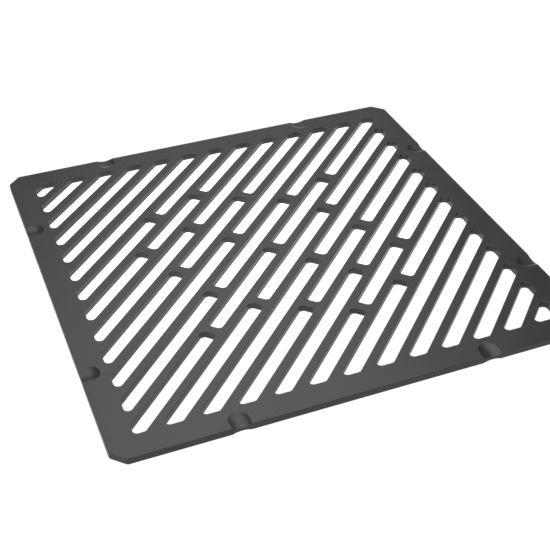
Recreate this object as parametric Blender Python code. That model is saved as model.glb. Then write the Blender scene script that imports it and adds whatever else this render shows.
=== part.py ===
# Cooking grate for a square fire pit or fire basket, cast in one piece.
# A flat square plate with cut corners.  Straight slots run in rows along one
# diagonal, bridges tie the bars together across the long rows, and half-round
# seats are let into the rim of both faces, so the grate works either way up.
# Metres.  The origin is the middle of the underside, +Z is up, and X and Y run
# along the plate's sides.

import math

import bmesh
import bpy
from mathutils import Matrix, Vector

# Plate
SIDE = 0.400                # across the flats
THICKNESS = 0.006
CORNER_CUT = 0.0108         # leg of the straight cut across each corner
CORNER_RADIUS = 0.0035      # where that cut meets the sides
EDGE_BREAK = 0.0005         # 45 degree break round both faces and every slot

# Slots
RIM_WIDTH = 0.0215          # solid rim round the slotted field
SLOT_WIDTH = 0.01275
BAR_WIDTH = 0.00725         # metal between two rows of slots
SLOT_RADIUS = 0.0037        # every inside corner of a slot
BRIDGE_WIDTH = 0.0085
LONGEST_OPEN_SLOT = 0.240   # a longer row gets bridges

# Half-round seats in the rim, two to a side on each face
SEAT_SPACING = 0.207        # between the two seats of one side
SEAT_WIDTH = 0.016
SEAT_REACH = 0.016          # from the plate's edge to the round inner end
SEAT_WEB = 0.0025           # metal left between the upper and the lower seat

# Fineness of round shapes
ARC_STEP = math.radians(30)
SEAT_SIDES = 68             # round the full circle of a seat's section
SEAT_RINGS = 34             # from pole to pole of the ball at its inner end

CUT_CLEARANCE = 0.0003      # how far a cutter stands out of the metal

SLOT_PITCH = SLOT_WIDTH + BAR_WIDTH
FIELD_HALF = SIDE / 2 - RIM_WIDTH
SEAT_DEPTH = (THICKNESS - SEAT_WEB) / 2
SEAT_HOLLOW = SEAT_DEPTH / 2 + SEAT_WIDTH ** 2 / (8 * SEAT_DEPTH)  # radius of its section
ROW_DIRECTION = Vector((1, 1)).normalized()
ROW_NORMAL = Vector((1, -1)).normalized()


def clear_scene():
    for item in list(bpy.data.objects):
        bpy.data.objects.remove(item, do_unlink=True)


def cast_iron():
    """Matt black cast iron."""
    material = bpy.data.materials.new("black_cast_iron")
    material.use_nodes = True
    shader = material.node_tree.nodes["Principled BSDF"]
    shader.inputs["Base Color"].default_value = (0.055, 0.056, 0.058, 1)
    shader.inputs["Roughness"].default_value = 0.6
    shader.inputs["Metallic"].default_value = 0.0
    return material


def add_object(name, bm):
    """Turn a finished bmesh into an object of the scene."""
    mesh = bpy.data.meshes.new(name)
    bm.to_mesh(mesh)
    bm.free()
    item = bpy.data.objects.new(name, mesh)
    bpy.context.scene.collection.objects.link(item)
    return item


def clip(corners, normal, distance):
    """Keep the part of a convex outline that lies within distance along normal."""
    kept = []
    for start, end in zip(corners, corners[1:] + corners[:1]):
        start_over = start.dot(normal) - distance
        end_over = end.dot(normal) - distance
        if start_over <= 0:
            kept.append(start)
        if start_over * end_over < 0:
            kept.append(start.lerp(end, start_over / (start_over - end_over)))
    return kept


def rounded_outline(corners, radius, growth):
    """Points round a convex outline, anticlockwise, with one radius at every corner.

    growth moves the whole outline outwards and keeps the centres of its arcs."""
    points = []
    for index, corner in enumerate(corners):
        to_last = (corners[index - 1] - corner).normalized()
        to_next = (corners[(index + 1) % len(corners)] - corner).normalized()
        half_angle = to_last.angle(to_next) / 2
        centre = corner + (to_last + to_next).normalized() * radius / math.sin(half_angle)
        turn = math.pi - 2 * half_angle
        first = math.atan2(to_last.x, -to_last.y)
        steps = max(1, round(turn / ARC_STEP))
        for step in range(steps + 1):
            angle = first + turn * step / steps
            points.append(centre + (radius + growth) * Vector((math.cos(angle), math.sin(angle))))
    return points


def add_stack(bm, corners, radius, levels):
    """Add a solid that passes through the rounded outline at each (height, growth)."""
    rings = []
    for height, growth in levels:
        outline = rounded_outline(corners, radius, growth)
        rings.append([bm.verts.new((point.x, point.y, height)) for point in outline])
    for lower, upper in zip(rings, rings[1:]):
        for index in range(len(lower)):
            bm.faces.new((lower[index - 1], lower[index], upper[index], upper[index - 1]))
    bm.faces.new(reversed(rings[0]))
    bm.faces.new(rings[-1])


def plate_corners():
    """The eight corners of the plate, anticlockwise."""
    half = SIDE / 2
    short = half - CORNER_CUT
    return [Vector(corner) for corner in (
        (half, -short), (half, short), (short, half), (-short, half),
        (-half, short), (-half, -short), (-short, -half), (short, -half))]


def make_plate():
    bm = bmesh.new()
    levels = (
        (0, -EDGE_BREAK),
        (EDGE_BREAK, 0),
        (THICKNESS - EDGE_BREAK, 0),
        (THICKNESS, -EDGE_BREAK))
    add_stack(bm, plate_corners(), CORNER_RADIUS, levels)
    return add_object("grate", bm)


def row_half_length(row):
    """Half the length of a row's centre line inside the square field."""
    return FIELD_HALF * math.sqrt(2) - abs(row) * SLOT_PITCH


def row_count():
    """Rows on each side of the middle one, as far as a whole slot still fits."""
    shortest_outer_side = SLOT_WIDTH / 2
    reach = FIELD_HALF * math.sqrt(2) - SLOT_WIDTH / 2 - shortest_outer_side / 2
    return math.floor(reach / SLOT_PITCH)


def bridge_places(row):
    """Places of the bridges along a row, measured from the row's middle."""
    half = row_half_length(row)
    if 2 * half <= LONGEST_OPEN_SLOT:
        return []
    if row == 0:
        return [-half / 2, 0, half / 2]
    if row % 2:
        return [-half / 3, half / 3]
    return [0]


def slot_corners(row, start, end):
    """Corners of one slot of a row, from start to end, cut off by the field's sides."""
    middle = ROW_NORMAL * row * SLOT_PITCH
    across = ROW_NORMAL * SLOT_WIDTH / 2
    corners = [
        middle + ROW_DIRECTION * start + across,
        middle + ROW_DIRECTION * end + across,
        middle + ROW_DIRECTION * end - across,
        middle + ROW_DIRECTION * start - across]
    for side in (Vector((1, 0)), Vector((0, 1)), Vector((-1, 0)), Vector((0, -1))):
        corners = clip(corners, side, FIELD_HALF)
    return corners


def make_slot_cutter():
    """One cutter with a body for each slot, flared to break the slot's edges."""
    bm = bmesh.new()
    flare = EDGE_BREAK + CUT_CLEARANCE
    levels = (
        (-CUT_CLEARANCE, flare),
        (EDGE_BREAK, 0),
        (THICKNESS - EDGE_BREAK, 0),
        (THICKNESS + CUT_CLEARANCE, flare))
    radius = min(SLOT_RADIUS, 0.49 * SLOT_WIDTH)
    for row in range(-row_count(), row_count() + 1):
        ends = [-SIDE]
        for place in bridge_places(row):
            ends += [place - BRIDGE_WIDTH / 2, place + BRIDGE_WIDTH / 2]
        ends.append(SIDE)
        for start, end in zip(ends[0::2], ends[1::2]):
            add_stack(bm, slot_corners(row, start, end), radius, levels)
    return add_object("slot_cutter", bm)


def seat_mesh():
    """A ball-ended bar that runs out along +X, past a plate's edge at X = 0.

    The plate's upper face is at Z = 0, and the bar dips into it by the seat's depth."""
    bm = bmesh.new()
    bmesh.ops.create_uvsphere(bm, u_segments=SEAT_SIDES, v_segments=SEAT_RINGS, radius=SEAT_HOLLOW)
    bmesh.ops.rotate(bm, verts=bm.verts, matrix=Matrix.Rotation(math.pi / 2, 3, "Y"))
    cut = bmesh.ops.bisect_plane(
        bm, geom=bm.verts[:] + bm.edges[:] + bm.faces[:], dist=1e-6,
        plane_co=(0, 0, 0), plane_no=(1, 0, 0), clear_outer=True)
    rim = [item for item in cut["geom_cut"] if isinstance(item, bmesh.types.BMEdge)]
    bar = bmesh.ops.extrude_edge_only(bm, edges=rim)["geom"]
    end = [item for item in bar if isinstance(item, bmesh.types.BMVert)]
    bmesh.ops.translate(bm, verts=end, vec=(SEAT_REACH, 0, 0))
    bmesh.ops.holes_fill(bm, edges=bm.edges[:], sides=0)
    centre = (SEAT_WIDTH / 2 - SEAT_REACH, 0, SEAT_HOLLOW - SEAT_DEPTH)
    bmesh.ops.translate(bm, verts=bm.verts, vec=centre)
    bmesh.ops.recalc_face_normals(bm, faces=bm.faces)
    mesh = bpy.data.meshes.new("seat")
    bm.to_mesh(mesh)
    bm.free()
    return mesh


def make_seat_cutter():
    """Every seat of both faces, two to a side."""
    bm = bmesh.new()
    seat = seat_mesh()
    for quarter in range(4):
        turn = Matrix.Rotation(quarter * math.pi / 2, 4, "Z")
        for along in (-SEAT_SPACING / 2, SEAT_SPACING / 2):
            for height, flip in ((THICKNESS, 0), (0, math.pi)):
                place = Matrix.Translation((SIDE / 2, along, height)) @ Matrix.Rotation(flip, 4, "X")
                placed = seat.copy()
                placed.transform(turn @ place)
                bm.from_mesh(placed)
    return add_object("seat_cutter", bm)


def cut_away(body, cutter):
    """Cut a body with a cutter, which stays in the file as a hidden guide."""
    cutter.hide_render = True
    cutter.display_type = "WIRE"
    modifier = body.modifiers.new(cutter.name, "BOOLEAN")
    modifier.operation = "DIFFERENCE"
    modifier.solver = "EXACT"
    modifier.object = cutter


def main():
    clear_scene()
    grate = make_plate()
    grate.data.materials.append(cast_iron())
    cut_away(grate, make_slot_cutter())
    cut_away(grate, make_seat_cutter())
    grate.data.shade_smooth()
    grate.data.set_sharp_from_angle(angle=ARC_STEP + math.radians(1))


main()
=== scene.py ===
import math

import bmesh
import bpy
from mathutils import Matrix, Vector


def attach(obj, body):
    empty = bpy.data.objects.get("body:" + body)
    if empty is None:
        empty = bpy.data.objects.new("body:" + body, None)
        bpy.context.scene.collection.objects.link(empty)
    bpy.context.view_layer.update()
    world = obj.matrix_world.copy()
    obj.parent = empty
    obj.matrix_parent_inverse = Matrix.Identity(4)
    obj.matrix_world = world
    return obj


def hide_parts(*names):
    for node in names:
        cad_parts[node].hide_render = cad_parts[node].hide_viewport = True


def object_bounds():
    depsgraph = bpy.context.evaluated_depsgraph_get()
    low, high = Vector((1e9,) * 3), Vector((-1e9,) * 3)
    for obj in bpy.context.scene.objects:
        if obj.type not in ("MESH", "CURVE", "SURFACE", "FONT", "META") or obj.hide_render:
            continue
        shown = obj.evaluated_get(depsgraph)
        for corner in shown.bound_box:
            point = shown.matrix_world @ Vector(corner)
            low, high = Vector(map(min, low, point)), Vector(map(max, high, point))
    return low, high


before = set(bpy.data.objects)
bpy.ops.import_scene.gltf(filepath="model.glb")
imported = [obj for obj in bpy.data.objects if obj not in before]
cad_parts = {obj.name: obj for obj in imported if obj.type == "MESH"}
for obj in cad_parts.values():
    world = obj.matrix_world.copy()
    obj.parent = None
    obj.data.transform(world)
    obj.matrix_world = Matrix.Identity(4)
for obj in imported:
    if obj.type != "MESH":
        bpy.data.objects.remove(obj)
cadLow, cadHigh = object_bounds()

weldGap = 1e-6  # metres; points closer than this count as one


def newObject(name, mesh):
    item = bpy.data.objects.new(name, mesh)
    bpy.context.scene.collection.objects.link(item)
    return item


def toMesh(bm, name):
    mesh = bpy.data.meshes.new(name)
    bm.to_mesh(mesh)
    bm.free()
    return mesh


def pick(result, kind):
    # the edges, faces or vertices among what an operator returns
    return [item for item in result if isinstance(item, kind)]


class Wire:
    # one socket of a node tree, so that shader maths reads as plain sums
    def __init__(self, finish, socket):
        self.finish = finish
        self.socket = socket

    def math(self, operation, first, second):
        return self.finish.node("ShaderNodeMath", {"operation": operation}, {0: first, 1: second})

    def __add__(self, other):
        return self.math("ADD", self, other)

    def __radd__(self, other):
        return self.math("ADD", other, self)

    def __sub__(self, other):
        return self.math("SUBTRACT", self, other)

    def __rsub__(self, other):
        return self.math("SUBTRACT", other, self)

    def __mul__(self, other):
        return self.math("MULTIPLY", self, other)

    def __rmul__(self, other):
        return self.math("MULTIPLY", other, self)


class Finish:
    # the node tree of a material or a world, built round its shader
    def __init__(self, owner, shader="Principled BSDF"):
        owner.use_nodes = True
        self.tree = owner.node_tree
        self.shader = self.tree.nodes[shader]

    def connect(self, value, socket):
        if isinstance(value, Wire):
            self.tree.links.new(value.socket, socket)
        else:
            socket.default_value = value

    def node(self, kind, settings=None, sockets=None, output=0):
        made = self.tree.nodes.new(kind)
        for setting, value in (settings or {}).items():
            setattr(made, setting, value)
        for name, value in (sockets or {}).items():
            self.connect(value, made.inputs[name])
        return Wire(self, made.outputs[output])

    def mixColour(self, factor, first, second):
        return self.node(
            "ShaderNodeMix", {"data_type": "RGBA"}, {0: factor, 6: first, 7: second}, output=2)

    def set(self, **sockets):
        for name, value in sockets.items():
            self.connect(value, self.shader.inputs[name.replace("_", " ")])


# the casting; lengths are in metres
grateSizes = {
    "cornerCut": 0.0108,  # leg of the cut across each corner
    "cornerRadius": 0.0035,
    "rimWidth": 0.0215,  # solid rim round the slots
    "slotWidth": 0.01275,
    "barWidth": 0.00725,
    "slotRadius": 0.0037,  # inside corners of the slots
    "bridgeWidth": 0.0085,
    "longestOpenSlot": 0.240,  # longer rows are bridged
    "edgeRadius": 0.00035,  # worn round edge of both faces
    "edgeSegments": 3,
    "cornerSegments": 4,
    "arcSegments": 32,  # of a full circle in the slots' corners
    "squareAngle": 60,  # degrees; edges that turn more get the radius
    "creaseAngle": 40,  # degrees; edges that turn more stay crisp in the shading
    "flatAngle": 0.1,  # degrees; faces that turn less become one
}

seatSizes = {
    "spacing": 0.207,  # between the two seats of a side
    "width": 0.016,
    "reach": 0.016,  # from the plate's edge to the inner end
    "web": 0.0025,  # metal between upper and lower seat
    "lipRadius": 0.0009,
    "lipSlope": 8,  # degrees, where the lip runs out into the face
    "lipRunOut": 0.0003,  # past that, so that the cut goes clear of the face
    "hollowSteps": 10,
    "lipSteps": 4,
    "endSteps": 28,  # round the inner end
}

side = cadHigh.x - cadLow.x
thickness = cadHigh.z - cadLow.z
middleHeight = (cadHigh.z + cadLow.z) / 2


def cutPlate():
    # a flat block with its four corners cut off and the cuts' ends rounded
    bm = bmesh.new()
    shape = Matrix.Translation((0, 0, middleHeight)) @ Matrix.Diagonal((side, side, thickness, 1))
    bmesh.ops.create_cube(bm, size=1, matrix=shape)
    setback = grateSizes["cornerRadius"] * math.tan(math.pi / 8)  # of a radius in a 45 degree turn
    for offset, segments in ((grateSizes["cornerCut"], 1), (setback, grateSizes["cornerSegments"])):
        upright = [
            edge for edge in bm.edges
            if abs(edge.verts[0].co.z - edge.verts[1].co.z) > thickness / 2]
        bmesh.ops.bevel(
            bm, geom=upright, offset=offset, offset_type="OFFSET", segments=segments,
            profile=0.5, affect="EDGES", material=-1)
    return toMesh(bm, "plate")


def bridgesOf(row, halfLength):
    # long rows are tied at their quarters, thirds or middle, in turn
    if 2 * halfLength <= grateSizes["longestOpenSlot"]:
        return []
    if row == 0:
        return [-halfLength / 2, 0, halfLength / 2]
    return [-halfLength / 3, halfLength / 3] if row % 2 else [0]


def slotSolid(row, start, end, pitch, fieldHalf):
    # a strip cut off by the field's sides, with a round post at each corner, wrapped in one hull
    radius = grateSizes["slotRadius"]
    bm = bmesh.new()
    strip = (
        Matrix.Rotation(math.pi / 4, 4, "Z")
        @ Matrix.Translation(((start + end) / 2, row * pitch, 0))
        @ Matrix.Diagonal((end - start - 2 * radius, grateSizes["slotWidth"] - 2 * radius, 1, 1)))
    bmesh.ops.create_grid(bm, x_segments=1, y_segments=1, size=0.5, matrix=strip)
    for outwards in (Vector((1, 0, 0)), Vector((0, 1, 0)), Vector((-1, 0, 0)), Vector((0, -1, 0))):
        bmesh.ops.bisect_plane(
            bm, geom=bm.verts[:] + bm.edges[:] + bm.faces[:], dist=weldGap / 10,
            plane_co=outwards * (fieldHalf - radius), plane_no=outwards, clear_outer=True)
    corners = [vert.co.copy() for vert in bm.verts]
    bm.clear()
    for corner in corners:
        for height in (-thickness, 2 * thickness):  # well past both faces
            bmesh.ops.create_circle(
                bm, cap_ends=False, segments=grateSizes["arcSegments"], radius=radius,
                matrix=Matrix.Translation((corner.x, corner.y, height)))
    hull = bmesh.ops.convex_hull(bm, input=bm.verts[:], use_existing_faces=False)
    spare = set(pick(hull["geom_interior"] + hull["geom_unused"], bmesh.types.BMVert))
    bmesh.ops.delete(bm, geom=list(spare), context="VERTS")
    flatAngle = math.radians(grateSizes["flatAngle"])
    bmesh.ops.dissolve_limit(bm, angle_limit=flatAngle, verts=bm.verts[:], edges=bm.edges[:])
    bmesh.ops.recalc_face_normals(bm, faces=bm.faces[:])
    return toMesh(bm, "slot")


def slotSolids():
    bm = bmesh.new()
    pitch = grateSizes["slotWidth"] + grateSizes["barWidth"]
    fieldHalf = side / 2 - grateSizes["rimWidth"]
    diagonal = fieldHalf * math.sqrt(2)
    shortest = grateSizes["slotWidth"] / 2  # length of the outer side of a last row's slot
    rows = math.floor((diagonal - grateSizes["slotWidth"] / 2 - shortest / 2) / pitch)
    for row in range(-rows, rows + 1):
        ends = [-side]
        for place in bridgesOf(row, diagonal - abs(row) * pitch):
            ends += [place - grateSizes["bridgeWidth"] / 2, place + grateSizes["bridgeWidth"] / 2]
        ends.append(side)
        for start, end in zip(ends[::2], ends[1::2]):
            bm.from_mesh(slotSolid(row, start, end, pitch, fieldHalf))
    return toMesh(bm, "slots")


def seatProfile():
    # half of the seat's section as (across, height): a shallow round hollow, then a lip that
    # turns over into the plate's face at height 0
    depth = (thickness - seatSizes["web"]) / 2
    hollow = depth / 2 + seatSizes["width"] ** 2 / (8 * depth)
    lip = seatSizes["lipRadius"]
    slope = math.radians(seatSizes["lipSlope"])
    lipHeight = -lip * math.cos(slope)
    lipAcross = math.sqrt((hollow + lip) ** 2 - (hollow - depth - lipHeight) ** 2)
    steepest = math.asin(lipAcross / (hollow + lip))
    points = []
    for step in range(seatSizes["hollowSteps"] + 1):
        angle = steepest * step / seatSizes["hollowSteps"]
        points.append((hollow * math.sin(angle), hollow - depth - hollow * math.cos(angle)))
    for step in range(1, seatSizes["lipSteps"] + 1):
        angle = steepest + (slope - steepest) * step / seatSizes["lipSteps"]
        points.append((lipAcross - lip * math.sin(angle), lipHeight + lip * math.cos(angle)))
    across, height = points[-1]
    runOut = seatSizes["lipRunOut"]
    points.append((across + runOut, height + runOut * math.tan(slope)))
    return points


def seatSolid():
    # the section turned half round for the inner end, then drawn out past the edge at x = 0
    bm = bmesh.new()
    section = seatProfile()
    rimAcross, rimHeight = section[-1]
    above = thickness / 2
    section += [(rimAcross, above), (0, above)]
    verts = [bm.verts.new((0, across, height)) for across, height in section]
    edges = [bm.edges.new(pair) for pair in zip(verts, verts[1:])]
    bmesh.ops.spin(
        bm, geom=verts + edges, cent=(0, 0, 0), axis=(0, 0, 1), angle=math.pi,
        steps=seatSizes["endSteps"], use_merge=False, use_duplicate=False)
    bmesh.ops.remove_doubles(bm, verts=bm.verts[:], dist=weldGap)
    rim = [edge for edge in bm.edges if edge.is_boundary]
    drawn = bmesh.ops.extrude_edge_only(bm, edges=rim)["geom"]
    bmesh.ops.translate(bm, verts=pick(drawn, bmesh.types.BMVert), vec=(2 * seatSizes["reach"], 0, 0))
    bmesh.ops.holes_fill(bm, edges=bm.edges[:], sides=0)
    bmesh.ops.translate(bm, verts=bm.verts[:], vec=(rimAcross - seatSizes["reach"], 0, 0))
    bmesh.ops.recalc_face_normals(bm, faces=bm.faces[:])
    return toMesh(bm, "seat")


def seatSolids():
    bm = bmesh.new()
    seat = seatSolid()
    for quarter in range(4):
        for along in (-seatSizes["spacing"] / 2, seatSizes["spacing"] / 2):
            for face, flip in ((cadHigh.z, 0), (cadLow.z, math.pi)):
                place = (
                    Matrix.Rotation(quarter * math.pi / 2, 4, "Z")
                    @ Matrix.Translation((side / 2, along, face))
                    @ Matrix.Rotation(flip, 4, "X"))
                copy = seat.copy()
                copy.transform(place)
                bm.from_mesh(copy)
    return toMesh(bm, "seats")


def subtract(mesh, tool):
    # mesh with the tool's solids cut out of it
    body, cutter = newObject("body", mesh), newObject("cutter", tool)
    cut = body.modifiers.new("cut", "BOOLEAN")
    cut.operation = "DIFFERENCE"
    cut.solver = "EXACT"
    cut.object = cutter
    result = bpy.data.meshes.new_from_object(body.evaluated_get(bpy.context.evaluated_depsgraph_get()))
    bpy.data.objects.remove(body)
    bpy.data.objects.remove(cutter)
    return result


def roundEdges(mesh):
    # every square edge of both faces gets a small radius
    bm = bmesh.new()
    bm.from_mesh(mesh)
    bmesh.ops.remove_doubles(bm, verts=bm.verts[:], dist=weldGap)
    squareAngle = math.radians(grateSizes["squareAngle"])
    square = [edge for edge in bm.edges if edge.calc_face_angle(0) > squareAngle]
    bmesh.ops.bevel(
        bm, geom=square, offset=grateSizes["edgeRadius"], offset_type="OFFSET",
        segments=grateSizes["edgeSegments"], profile=0.5, affect="EDGES", material=-1)
    bm.to_mesh(mesh)
    bm.free()
    return mesh


def markWear(mesh):
    # 1 in the middle of the rounded edges, 0 on the flats and in the seats
    bm = bmesh.new()
    bm.from_mesh(mesh)
    wear = bm.verts.layers.float.new("edgeWear")
    lip = seatSizes["lipRadius"]
    upright, flat = 0.01, 0.99  # how far up the normals of walls and of flats may point
    for vert in bm.verts:
        tilted = all(upright < abs(face.normal.z) < flat for face in vert.link_faces)
        along, outwards = sorted((abs(vert.co.x), abs(vert.co.y)))
        inSeat = (
            outwards > side / 2 - seatSizes["reach"] - lip
            and abs(along - seatSizes["spacing"] / 2) < seatSizes["width"] / 2 + lip)
        vert[wear] = float(tilted and not inSeat)
    bm.to_mesh(mesh)
    bm.free()


def makeGrate():
    mesh = subtract(cutPlate(), slotSolids())
    print("slots cut:", len(mesh.polygons), "faces")
    mesh = subtract(roundEdges(mesh), seatSolids())
    markWear(mesh)
    mesh.shade_smooth()
    mesh.set_sharp_from_angle(angle=math.radians(grateSizes["creaseAngle"]))
    grate = newObject("castGrate", mesh)
    even = grate.modifiers.new("even normals", "WEIGHTED_NORMAL")
    even.keep_sharp = True
    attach(grate, "root")
    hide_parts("grate")
    print("grate cast:", len(mesh.polygons), "faces")
    return grate


# sand-cast iron under a thin matt black coat; scales are per metre
ironLooks = {
    "coat": (0.0125, 0.0130, 0.0140, 1),
    "paleCoat": (0.0180, 0.0185, 0.0195, 1),  # in the cloudy patches
    "wornCoat": (0.055, 0.056, 0.058, 1),  # along the edges
    "wornShare": 0.7,  # how much of the coat the wear takes off
    # each noise's scale, detail, roughness and shift
    "cloud": (21.0, 4.0, 0.55, 0.0),
    "sand": (330.0, 3.0, 0.6, 0.3),
    "grain": (1150.0, 2.0, 0.5, 0.7),
    "chips": (165.0, 2.0, 0.6, 1.1),  # breaks in the worn edges
    "noiseMiddle": 0.5,
    "cloudShare": 0.75,  # of the clouds in the paler patches, the rest is sand
    "cloudBand": (0.35, 0.65),
    "chipBand": (0.35, 0.65),
    "pitScale": 240.0,
    "pitSize": (0.16, 0.02),  # where a pit starts and where it is deepest, in cells
    "pitRarity": (0.80, 0.95),  # only the luckiest cells have a pit
    "roughness": 0.40,
    "cloudGloss": 0.12,
    "grainGloss": 0.10,
    "wornGloss": 0.06,
    "sandRelief": 0.55,
    "grainRelief": 0.35,
    "pitRelief": 0.8,
    "reliefStrength": 0.5,
    "reliefDepth": 0.00022,
    "refraction": 1.42,
}


def blackCastIron():
    iron = bpy.data.materials.new("blackCastIron")
    finish = Finish(iron)
    place = finish.node("ShaderNodeTexCoord", output=3)  # Object coordinates

    def noise(name):
        scale, detail, rough, shift = ironLooks[name]
        moved = finish.node(
            "ShaderNodeMapping", None, {"Vector": place, "Location": (shift, shift, shift)})
        return finish.node(
            "ShaderNodeTexNoise", None,
            {"Vector": moved, "Scale": scale, "Detail": detail, "Roughness": rough})

    def band(value, limits, kind="LINEAR"):
        # 0 at the first limit and 1 at the second
        return finish.node(
            "ShaderNodeMapRange", {"interpolation_type": kind},
            {"Value": value, "From Min": limits[0], "From Max": limits[1]})

    cloud, sand, grain, chips = noise("cloud"), noise("sand"), noise("grain"), noise("chips")
    cell = {"Vector": place, "Scale": ironLooks["pitScale"]}
    pitDistance = finish.node("ShaderNodeTexVoronoi", None, cell)
    pitColour = finish.node("ShaderNodeTexVoronoi", None, cell, output=1)
    luck = finish.node("ShaderNodeSeparateColor", None, {"Color": pitColour})
    pits = band(pitDistance, ironLooks["pitSize"], "SMOOTHSTEP") * band(luck, ironLooks["pitRarity"])
    edge = finish.node("ShaderNodeAttribute", {"attribute_name": "edgeWear"}, output=2)
    wear = edge * band(chips, ironLooks["chipBand"])

    cloudShare = ironLooks["cloudShare"]
    cloudy = band(cloud * cloudShare + sand * (1 - cloudShare), ironLooks["cloudBand"])
    coat = finish.mixColour(cloudy, ironLooks["coat"], ironLooks["paleCoat"])
    coat = finish.mixColour(wear * ironLooks["wornShare"], coat, ironLooks["wornCoat"])
    middle = ironLooks["noiseMiddle"]
    gloss = (cloud - middle) * ironLooks["cloudGloss"] + (grain - middle) * ironLooks["grainGloss"]
    height = sand * ironLooks["sandRelief"] + grain * ironLooks["grainRelief"]
    relief = finish.node(
        "ShaderNodeBump", None,
        {"Height": height - pits * ironLooks["pitRelief"],
         "Strength": ironLooks["reliefStrength"], "Distance": ironLooks["reliefDepth"]})
    finish.set(
        Base_Color=coat,
        Roughness=ironLooks["roughness"] + gloss - wear * ironLooks["wornGloss"],
        IOR=ironLooks["refraction"],
        Normal=relief)
    return iron


# floor, pad and wall; a glow is given at the near and at the far side
studioLooks = {
    "floorSize": 24.0,
    "floorDrop": 0.0002,
    "floorGlow": (1.03, 1.03),
    "padSize": 0.36,  # the pad that the grate lies on; it glows, brighter towards the far side, and lights the grate from below as a lamp would
    "padDrop": 0.0001,
    "padGlow": (1.0, 1.62),
    "glowFade": (-0.14, 0.0),  # along Y, from the near glow to the far glow
    "wallRadius": 10.0,
    "wallHeight": 6.0,
    "wallSides": 64,
    "airGlow": 0.10,
}


# a glowing sheet: the floor and the wall glow evenly, while the pad's brighter far side lights the
# grate from below
def makeGlowing(name, bm, glow):
    sheet = newObject(name, toMesh(bm, name))
    glowMaterial = bpy.data.materials.new(name)
    finish = Finish(glowMaterial)
    place = finish.node("ShaderNodeTexCoord", output=3)
    depth = finish.node("ShaderNodeSeparateXYZ", None, {"Vector": place}, output=1)
    fadeStart, fadeEnd = studioLooks["glowFade"]
    strength = finish.node(
        "ShaderNodeMapRange", {"interpolation_type": "SMOOTHSTEP"},
        {"Value": depth, "From Min": fadeStart, "From Max": fadeEnd,
         "To Min": glow[0], "To Max": glow[1]})
    light = finish.node("ShaderNodeEmission", None, {"Color": (1, 1, 1, 1), "Strength": strength})
    finish.connect(light, finish.tree.nodes["Material Output"].inputs["Surface"])
    sheet.data.materials.append(glowMaterial)
    return sheet


def makeFlat(name):
    bm = bmesh.new()
    level = Matrix.Translation((0, 0, cadLow.z - studioLooks[name + "Drop"]))
    size = studioLooks[name + "Size"] / 2
    bmesh.ops.create_grid(bm, x_segments=1, y_segments=1, size=size, matrix=level)
    makeGlowing(name, bm, studioLooks[name + "Glow"])


def makeWall():
    # a pale round wall far off, which lights nothing
    bm = bmesh.new()
    height = studioLooks["wallHeight"]
    bmesh.ops.create_circle(
        bm, cap_ends=False, segments=studioLooks["wallSides"], radius=studioLooks["wallRadius"])
    bmesh.ops.translate(bm, verts=bm.verts[:], vec=(0, 0, -height / 2))
    drawn = bmesh.ops.extrude_edge_only(bm, edges=bm.edges[:])["geom"]
    bmesh.ops.translate(bm, verts=pick(drawn, bmesh.types.BMVert), vec=(0, 0, height))
    wall = makeGlowing("wall", bm, studioLooks["floorGlow"])
    wall.visible_diffuse = False  # only the camera sees it
    wall.visible_glossy = False


def makeAir():
    world = bpy.data.worlds.new("studioAir")
    Finish(world, "Background").set(Color=(1, 1, 1, 1), Strength=studioLooks["airGlow"])
    bpy.context.scene.world = world


# each light's centre, the point it faces, its width and height, and its glow
softLights = {
    "overhead": ((0.15, 0.25, 0.80), (0.15, 0.25, 0.0), (0.80, 1.70), 2.75),
    "overheadLeft": ((-0.10, 0.05, 0.81), (-0.10, 0.05, 0.0), (0.30, 1.30), 0.70),
    "overheadFar": ((0.58, 1.75, 0.80), (0.58, 1.75, 0.0), (1.05, 1.30), 0.45),
    "left": ((-1.56, -0.90, 0.88), (0.0, 0.0, 0.88), (3.60, 1.26), 2.85),
    "lowBack": ((1.08, 2.80, 0.22), (0.0, 0.0, 0.22), (2.50, 0.42), 2.10),
}
lightColour = (0.985, 0.992, 1.03)


def makeSoftLights():
    for name, (centre, target, size, glow) in softLights.items():
        lamp = bpy.data.lights.new(name, "AREA")
        lamp.shape = "RECTANGLE"
        lamp.size, lamp.size_y = size
        lamp.energy = glow * math.pi * size[0] * size[1]
        lamp.color = lightColour
        light = bpy.data.objects.new(name, lamp)
        bpy.context.scene.collection.objects.link(light)
        light.location = centre
        facing = Vector(target) - Vector(centre)
        light.rotation_euler = facing.to_track_quat("-Z", "Y").to_euler()
        light.visible_camera = False


cameraView = {
    "azimuth": -21.1,  # degrees, from straight in front towards the left
    "elevation": 37.1,
    "distance": 0.92415,
    "aim": (-0.01566, -0.04057),  # on the upper face, from its middle
    "roll": -0.562,
    "lens": 70.9,
    "sensor": 36,
}


def makeCamera():
    azimuth = math.radians(cameraView["azimuth"])
    elevation = math.radians(cameraView["elevation"])
    aim = Vector((*cameraView["aim"], cadHigh.z))
    back = Vector((
        math.sin(azimuth) * math.cos(elevation),
        -math.cos(azimuth) * math.cos(elevation),
        math.sin(elevation)))
    camera = bpy.data.objects.new("camera", bpy.data.cameras.new("camera"))
    bpy.context.scene.collection.objects.link(camera)
    camera.data.lens = cameraView["lens"]
    camera.data.sensor_width = cameraView["sensor"]
    camera.location = aim + back * cameraView["distance"]
    roll = Matrix.Rotation(math.radians(cameraView["roll"]), 3, "Z")
    camera.rotation_euler = ((-back).to_track_quat("-Z", "Y").to_matrix() @ roll).to_euler()
    bpy.context.scene.camera = camera


bpy.context.scene.view_settings.view_transform = "Standard"
makeCamera()
print("camera placed")
makeAir()
makeSoftLights()
makeWall()
makeFlat("floor")
makeFlat("pad")
print("studio lit")
grate = makeGrate()
grate.data.materials.clear()
grate.data.materials.append(blackCastIron())
print("grate coated")
